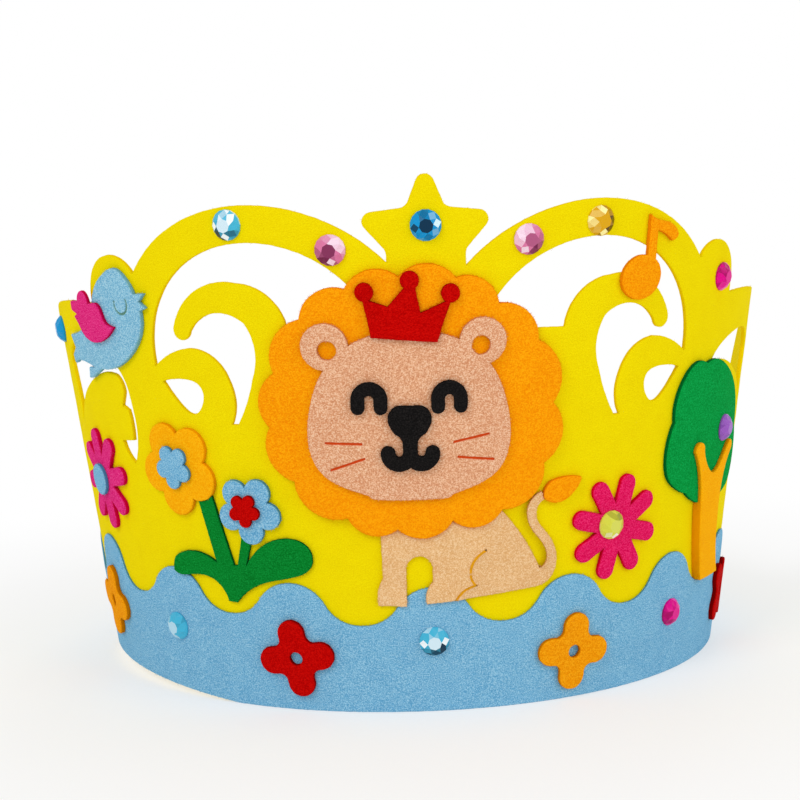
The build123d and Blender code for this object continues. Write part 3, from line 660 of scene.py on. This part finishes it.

# %% [markdown]
# ## Cutting and laying the felt
# Each row gives the piece, its felt, how round its rim is, how coarse its mesh may be and the step along its
# edge, in millimetres. Small pieces get finer steps. A second list names the pieces that were cut from
# another dye lot. Short lists name the sheets that lap at the back, those that bend over others with their
# thickness, the one that lies on two levels, the one with a pressed line that runs out at its edge, and the
# fibres on a metre of cut edge.

# %% Felt pieces
PIECES = {
    "crown_band": ("yellow_felt", 0.35, 1.7, 0.8),
    "wave_strip": ("blue_felt", 0.25, 1.5, 0.6),
    "loop_patch": ("closure_tape", 0.2, 1.2, 0.6),
    "hook_patch": ("closure_tape", 0.2, 1.2, 0.6),
    "lion_mane": ("orange_felt", 0.6, 1.1, 0.4),
    "lion_head": ("peach_felt", 0.35, 0.9, 0.35),
    "lion_body": ("peach_felt", 0.3, 0.9, 0.35),
    "lion_tail_tip": ("orange_felt", 0.4, 0.8, 0.35),
    "lion_crown": ("red_felt", 0.4, 0.8, 0.35),
    "lion_left_eye": ("black_felt", 0.3, 0.6, 0.3),
    "lion_right_eye": ("black_felt", 0.3, 0.6, 0.3),
    "lion_muzzle": ("black_felt", 0.3, 0.6, 0.3),
    "bird_body": ("blue_felt", 0.4, 0.9, 0.35),
    "bird_wing": ("magenta_felt", 0.4, 0.8, 0.35),
    "orange_flower": ("amber_felt", 0.45, 0.9, 0.4),
    "orange_flower_centre": ("blue_felt", 0.4, 0.7, 0.3),
    "blue_flower": ("blue_felt", 0.4, 0.8, 0.35),
    "blue_flower_centre": ("red_felt", 0.4, 0.6, 0.3),
    "plant": ("green_felt", 0.35, 0.9, 0.4),
    "right_daisy": ("magenta_felt", 0.45, 0.8, 0.35),
    "left_daisy": ("magenta_felt", 0.45, 0.8, 0.35),
    "left_daisy_centre": ("blue_felt", 0.4, 0.7, 0.3),
    "tree_foliage": ("green_felt", 0.45, 1.0, 0.4),
    "tree_trunk": ("amber_felt", 0.4, 0.9, 0.4),
    "music_note": ("amber_felt", 0.4, 0.8, 0.35),
    "rim_flower_left": ("red_felt", 0.4, 0.8, 0.35),
    "rim_flower_right": ("amber_felt", 0.4, 0.8, 0.35),
    "rim_flower_far_left": ("amber_felt", 0.4, 0.8, 0.35),
    "rim_flower_far_right": ("red_felt", 0.4, 0.8, 0.35),
}
DYE_LOTS = {
    "bird_body": "pale_blue_felt", "lion_body": "pale_peach_felt", "plant": "dark_green_felt",
    "bird_wing": "rose_felt", "left_daisy": "rose_felt", "rim_flower_right": "deep_amber_felt",
    "rim_flower_far_left": "deep_amber_felt", "music_note": "orange_felt",
}
LAPPED = {"crown_band": (-FELT, 0), "wave_strip": (0, STRIP)}
BENT = {"lion_crown": 1.2 * MM, "lion_body": 0.8 * MM, "plant": 1.0 * MM}
TWO_LEVELS = ("tree_trunk",)
BAYED = ("lion_body",)
SLOTTED = ("wave_strip",)
FIBRES = {
    "crown_band": 500, "wave_strip": 1500, "lion_mane": 5000, "bird_body": 3500, "orange_flower": 4000,
}
PLAIN_FIBRES = 2200
FIBRE_SEED = 11
UNEVEN = 0.1 * MM
UNEVEN_GRAIN = 6 * MM
LEAST = 0.2 * MM


def front_and_back(name, flat, faces, to_edge, pressed, low, high, rim):
    """Distance out of a sheet's front and of its back at each flat point."""
    back = np.full(len(flat), low)
    front = np.full(len(flat), high)
    if name in BENT:
        back = settled(under_side(name, flat, to_edge, low), faces)
        front = back + BENT[name]
    elif name in TWO_LEVELS:
        back = under_side(name, flat, to_edge, low)
    swell = np.where(to_edge > rim, stray(flat, UNEVEN, UNEVEN_GRAIN), 0)
    front = front + swell - np.maximum(rounded(to_edge, rim), SLIT_DEPTH * pressed)
    back = back + rounded(to_edge, BACK_RIM)
    front = np.maximum(front, back + LEAST)
    lift = lap_lift(flat[:, 0] / MEAN_RADIUS) if name in LAPPED else 0
    return front + lift, back + lift


draw = np.random.default_rng(FIBRE_SEED)
triangles = 0
for name, (cloth, rim, spacing, step) in PIECES.items():
    lines, low, high = cut_lines(name, name in LAPPED)
    if name in SLOTTED:
        lines = [without_slots(line) for line in lines]
    low, high = LAPPED.get(name, (low, high))
    flat, faces, to_edge, to_slit = flat_mesh(lines, step * MM, spacing * MM, rim * MM, name in BAYED)
    pressed = np.clip(1 - to_slit / SLIT_SHOULDER, 0, 1)
    front, back = front_and_back(name, flat, faces, to_edge, pressed, low, high, rim * MM)
    fibres = loose_fibres(flat, faces, front, back, FIBRES.get(name, PLAIN_FIBRES), draw)
    piece = closed_sheet(flat, faces, front, back, pressed, fibres, f"felt_{name}")
    piece.data.materials.append(FELTS[DYE_LOTS.get(name, cloth)])
    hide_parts(name)
    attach(piece, "root")
    width, length, area = flat_size(flat, faces)
    triangles += sum(len(p.vertices) - 2 for p in piece.data.polygons)
    print(f"{name}: {len(lines)} lines, flat {width / MM:.1f} x {length / MM:.1f} mm, "
          f"share {area / width / length:.2f}, {len(piece.data.polygons)} faces")
print(len(PIECES), "felt pieces", triangles, "triangles")

# %% [markdown]
# ## Faceted gems
# The gems are moulded acrylic with a mirror foil behind. Foil sends light back through other facets, so one
# side of a gem shines while the other goes dark, and neighbours differ. That light is painted: each facet
# carries its own share of painted light, which leads from a painted deep shade over the body colour to a
# pale painted flash.

# %% Gem material
# Shares of painted light between which a facet keeps the body colour.
BODY_RANGE = (0.3, 0.68)


def gem_acrylic(name, painted_deep_shade, body, painted_flash):
    """Foil-backed acrylic whose colour goes from painted shade over the body colour to a painted highlight,
    by the share of painted light of each face.
    """
    made = bpy.data.materials.new(name)
    made.use_nodes = True
    tree = made.node_tree
    tree.nodes.clear()
    # Each face's share of painted light picks a colour from painted shade over the body colour to a painted
    # flash.
    painted_facet_light = node(tree, "ShaderNodeAttribute", attribute_name="painted_facet_light").outputs["Fac"]
    ramp = node(tree, "ShaderNodeValToRGB", {"Fac": painted_facet_light})
    ramp.color_ramp.elements[0].color = linear(painted_deep_shade)
    ramp.color_ramp.elements[1].color = linear(painted_flash)
    for place in BODY_RANGE:
        ramp.color_ramp.elements.new(place).color = linear(body)
    surface = node(tree, "ShaderNodeBsdfPrincipled", {
        "Base Color": ramp.outputs["Color"], "Roughness": 0.2, "IOR": 1.49,
        "Specular IOR Level": 0.12}).outputs[0]
    node(tree, "ShaderNodeOutputMaterial", {"Surface": surface})
    return made


ACRYLICS = {
    "gem_blue": gem_acrylic("blue_foiled_acrylic", "041E34", "0E92D0", "D8F6FF"),
    "gem_aqua": gem_acrylic("aqua_foiled_acrylic", "18364A", "45B4D6", "F4FCFF"),
    "gem_pink": gem_acrylic("pink_foiled_acrylic", "74204A", "DA76A2", "F6D8EA"),
    "gem_gold": gem_acrylic("gold_foiled_acrylic", "64480A", "DCA40E", "FFF6A8"),
    "gem_yellow": gem_acrylic("lime_foiled_acrylic", "86861A", "D4D648", "FAFCE0"),
    "gem_magenta": gem_acrylic("magenta_foiled_acrylic", "AC0064", "E0008A", "F24CB4"),
    "gem_purple": gem_acrylic("purple_foiled_acrylic", "76389E", "9C5CC0", "D4A8E4"),
}

# %% [markdown]
# ## Cutting one gem
# The mould has a flat table, eight small triangles round it, eight kites and a row of triangles at the
# girdle. A facet gets more painted light towards the side that shines, some by chance, and a few are full
# painted flashes.

# %% Cutting one gem
GEM_SIDES = 8
# Shares of the radius at which the table ends and the slope breaks.
TABLE = 0.46
BREAK = 0.78
GEM_HEIGHT = 2.1 * MM
BREAK_SHARE = 0.6
GIRDLE = 0.4 * MM
PAINTED_FLASH_REACH = radians(24)


def gem_mesh(radius):
    """Corners of a gem on its flat back, and its faces: table, triangles, kites, girdle and back."""
    half = np.pi / GEM_SIDES
    break_height = GIRDLE + BREAK_SHARE * (GEM_HEIGHT - GIRDLE)
    rings = ((TABLE, GEM_HEIGHT, 2, 0), (BREAK, break_height, 2, 1), (1, GIRDLE, 1, 0), (1, 0, 1, 0))
    corners, starts = [], []
    for share, rise, every, shift in rings:
        starts.append(sum(len(ring) for ring in corners))
        turn = half * np.arange(shift, 2 * GEM_SIDES, every)
        corners.append(np.stack([share * radius * np.cos(turn), share * radius * np.sin(turn),
                                 np.full(len(turn), rise)], axis=1))
    top, mid, belt, foot = starts
    stars, kites, lows, walls = [], [], [], []
    for i in range(GEM_SIDES):
        j, k, n = (i + 1) % GEM_SIDES, 2 * i, 2 * GEM_SIDES
        stars.append((top + i, mid + i, top + j))
        kites.append((top + i, mid + (i - 1) % GEM_SIDES, belt + k, mid + i))
        lows += [(mid + i, belt + k, belt + k + 1), (mid + i, belt + k + 1, belt + (k + 2) % n)]
        walls += [(belt + m, foot + m, foot + (m + 1) % n, belt + (m + 1) % n) for m in (k, k + 1)]
    table = [tuple(range(top, top + GEM_SIDES))]
    back = [tuple(range(foot, foot + 2 * GEM_SIDES))[::-1]]
    return np.concatenate(corners), table + stars + kites + lows + walls + back


def cut_gem(name, slot, acrylic, turn, table, base, swing, painted_lit_side, chance, painted_flashes, seed):
    """Gem on the place of its plain solid, with a share of painted light for each face."""
    points = np.array([v.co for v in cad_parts[name].data.vertices])
    angle, slant, out = unroll(points)
    middle = (angle.min() + angle.max()) / 2
    height = (slant.min() + slant.max()) / 2
    seat = out.min()
    local, faces = gem_mesh((slant.max() - slant.min()) / 2)
    spin = np.array(Matrix.Rotation(radians(turn), 3, "Z"))
    local = local @ spin.T
    side = np.array([local[list(face)].mean(0) for face in faces])
    facing = np.arctan2(side[:, 1], side[:, 0])
    luck = np.random.default_rng(seed).uniform(-1, 1, len(faces))
    # Painted light: lighter towards the lit side, some by chance, with painted flashes; the table has its
    # own value.
    light = base + swing * np.cos(facing - radians(painted_lit_side)) + chance * luck
    for painted_flash in painted_flashes:
        near = np.cos(facing - radians(painted_flash)) > cos(PAINTED_FLASH_REACH)
        near[:1 + GEM_SIDES] = False
        near[1 + 2 * GEM_SIDES:] = False
        light[near] = 1
    light[0] = table
    across = Vector((cos(middle), sin(middle), 0))
    origin = Vector(roll(np.array([middle]), np.array([height]), np.array([seat]))[0])
    out_way = outward(origin)
    up = out_way.cross(across)
    mesh = bpy.data.meshes.new(f"cut_{name}")
    mesh.from_pydata((np.array(origin) + local @ np.array([across, up, out_way])).tolist(), [], faces)
    share = mesh.attributes.new("painted_facet_light", "FLOAT", "FACE")
    share.data.foreach_set("value", np.clip(light, 0, 1).astype(np.float32))
    piece = bpy.data.objects.new(f"cut_{name}", mesh)
    bpy.context.scene.collection.objects.link(piece)
    mesh.materials.append(ACRYLICS[acrylic])
    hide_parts(name)
    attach(piece, "root")


# Slot, acrylic, turn, then painted light: table, mean, swing, the side that shines, chance and full painted
# flashes.
GEMS = {
    "gem_star": ("gem_blue", "gem_blue", 11, 0.02, 0.46, 0.1, 30, 0.34, (0,)),
    "gem_arch_left": ("gem_aqua", "gem_aqua", 0, 0.9, 0.42, 0.42, 60, 0.3, (265, 165)),
    "gem_arch_left_inner": ("gem_pink", "gem_pink", 8, 0.03, 0.5, 0.52, 50, 0.14, (295,)),
    "gem_arch_right": ("gem_yellow", "gem_gold", 4, 0.66, 0.42, 0.42, 165, 0.26, (85, 270)),
    "gem_arch_right_inner": ("gem_pink", "gem_pink", 15, 0.15, 0.5, 0.52, 140, 0.14, (260,)),
    "gem_lobe": ("gem_magenta", "gem_magenta", 4, 0.5, 0.46, 0.3, 330, 0.4, ()),
    "gem_side": ("gem_aqua", "gem_blue", 9, 0.5, 0.48, 0.04, 60, 0.05, ()),
    "gem_tree": ("gem_purple", "gem_purple", 3, 0.5, 0.45, 0.2, 60, 0.25, ()),
    "gem_daisy": ("gem_yellow", "gem_yellow", 10, 0.7, 0.44, 0.25, 240, 0.2, (300,)),
    "gem_rim": ("gem_aqua", "gem_aqua", 6, 0.9, 0.3, 0.4, 90, 0.2, (190, 350)),
    "gem_rim_left": ("gem_aqua", "gem_aqua", 2, 0.82, 0.6, 0.28, 200, 0.14, ()),
    "gem_rim_right": ("gem_magenta", "gem_magenta", 7, 0.45, 0.48, 0.4, 20, 0.25, ()),
}
for seed, (name, row) in enumerate(GEMS.items()):
    cut_gem(name, *row, seed)
print(len(GEMS), "gems")

# %% [markdown]
# ## Floor
# The crown stands on pale seamless paper, as in a product picture. Near the crown the paper is half matt and
# half glowing, so a soft shadow stays. Further out it only glows and meets the white background.

# %% Floor
FLOOR_HALF = 6
FLOOR_DROP = 0.05 * MM
GLOW_FROM = 0.1
GLOW_FULL = 0.3
GLOW_NEAR = 0.5
floor_mesh = bpy.data.meshes.new("studio_floor")
floor_corners = [(x * FLOOR_HALF, y * FLOOR_HALF, 0) for x, y in ((-1, -1), (1, -1), (1, 1), (-1, 1))]
floor_mesh.from_pydata(floor_corners, [], [(0, 1, 2, 3)])
floor = bpy.data.objects.new("studio_floor", floor_mesh)
bpy.context.scene.collection.objects.link(floor)
floor.location.z = -FLOOR_DROP
paper = bpy.data.materials.new("white_backdrop_paper")
paper.use_nodes = True
backdrop = paper.node_tree
backdrop.nodes.clear()
place = node(backdrop, "ShaderNodeTexCoord").outputs["Object"]
away = node(backdrop, "ShaderNodeVectorMath", {0: place}, operation="LENGTH").outputs["Value"]
far = node(backdrop, "ShaderNodeMapRange", {
    "Value": away, "From Min": GLOW_FROM, "From Max": GLOW_FULL, "To Min": GLOW_NEAR},
    interpolation_type="SMOOTHSTEP").outputs[0]
matt = node(backdrop, "ShaderNodeBsdfDiffuse", {"Color": linear("FBFBFB")}).outputs[0]
glow = node(backdrop, "ShaderNodeEmission", {"Color": linear("FFFFFF"), "Strength": 1.0}).outputs[0]
ground = node(backdrop, "ShaderNodeMixShader", {0: far, 1: matt, 2: glow}).outputs[0]
node(backdrop, "ShaderNodeOutputMaterial", {"Surface": ground})
floor_mesh.materials.append(paper)

# %% [markdown]
# ## Light
# Three large soft lights stand round the crown. The world gives an even fill, and looks white to the camera
# and in what shines.

# %% Light
SKY_FILL = 0.6
SKY_SEEN = 1.0
world = bpy.data.worlds.new("studio")
bpy.context.scene.world = world
world.use_nodes = True
sky = world.node_tree
sky.nodes.clear()
ray = node(sky, "ShaderNodeLightPath").outputs
seen = ray["Is Camera Ray"]
for other in ("Is Glossy Ray", "Is Transmission Ray"):
    seen = node(sky, "ShaderNodeMath", {0: seen, 1: ray[other]}, operation="MAXIMUM").outputs[0]
level = node(sky, "ShaderNodeMapRange", {"Value": seen, "To Min": SKY_FILL, "To Max": SKY_SEEN}).outputs[0]
white = node(sky, "ShaderNodeBackground", {"Color": linear("FFFFFF"), "Strength": level}).outputs[0]
node(sky, "ShaderNodeOutputWorld", {"Surface": white})


def softbox(name, place, aim, size, power):
    """Square area light that faces a point."""
    lamp = bpy.data.lights.new(name, "AREA")
    lamp.size = size
    lamp.energy = power
    box = bpy.data.objects.new(name, lamp)
    box.location = place
    box.rotation_euler = (Vector(aim) - Vector(place)).to_track_quat("-Z", "Y").to_euler()
    bpy.context.scene.collection.objects.link(box)


# Place and size in metres, power in watts.
LIGHTS = {
    "key": ((-0.6, -0.85, 0.9), 0.5, 4.6),
    "fill": ((0.8, -0.7, 0.5), 0.6, 2.4),
    "back": ((0.2, 0.9, 0.8), 0.6, 2.4),
}
AIM = (0, 0, 0.06)
for name, (place, size, power) in LIGHTS.items():
    softbox(name, place, AIM, size, power)

# %% [markdown]
# ## Camera
# The picture was taken from about the height of the star, close enough for some perspective. Turn, height,
# roll, distance and focal length were found from points of the crown that show in it.

# %% Camera
VIEW_TURN = radians(-2.92)
VIEW_RISE = radians(6.854)
VIEW_ROLL = radians(-1.747)
VIEW_DISTANCE = 494.84 * MM
SENSOR = 36
# Width of the picture, focal length and the point the camera looks at, in pixels of the picture.
PICTURE = 800
FOCAL = 1643.1
CENTRE = (409.28, 433.48)
NEAREST_SEEN = 10 * MM
lens = bpy.data.cameras.new("camera")
lens.sensor_width = SENSOR
lens.lens = SENSOR * (FOCAL / PICTURE)
lens.shift_x = (PICTURE / 2 - CENTRE[0]) / PICTURE
lens.shift_y = (CENTRE[1] - PICTURE / 2) / PICTURE
lens.clip_start = NEAREST_SEEN
camera = bpy.data.objects.new("camera", lens)
bpy.context.scene.collection.objects.link(camera)
toward = Vector((0, -cos(VIEW_RISE), sin(VIEW_RISE)))
right = Vector((1, 0, 0))
up = Vector((0, sin(VIEW_RISE), cos(VIEW_RISE)))
turned_right = right * cos(VIEW_ROLL) + up * sin(VIEW_ROLL)
turned_up = up * cos(VIEW_ROLL) - right * sin(VIEW_ROLL)
axes = Matrix((turned_right, turned_up, toward)).transposed()
spin = Matrix.Rotation(VIEW_TURN, 3, "Z")
stand = Vector(AIM) + spin @ (toward * VIEW_DISTANCE)
camera.matrix_world = Matrix.Translation(stand) @ (spin @ axes).to_4x4()
bpy.context.scene.camera = camera
bpy.context.scene.view_settings.view_transform = "Standard"

# %% [markdown]
# ## Updating the scene
# The scene is updated once more at the end.

# %% Updating the scene
bpy.context.view_layer.update()
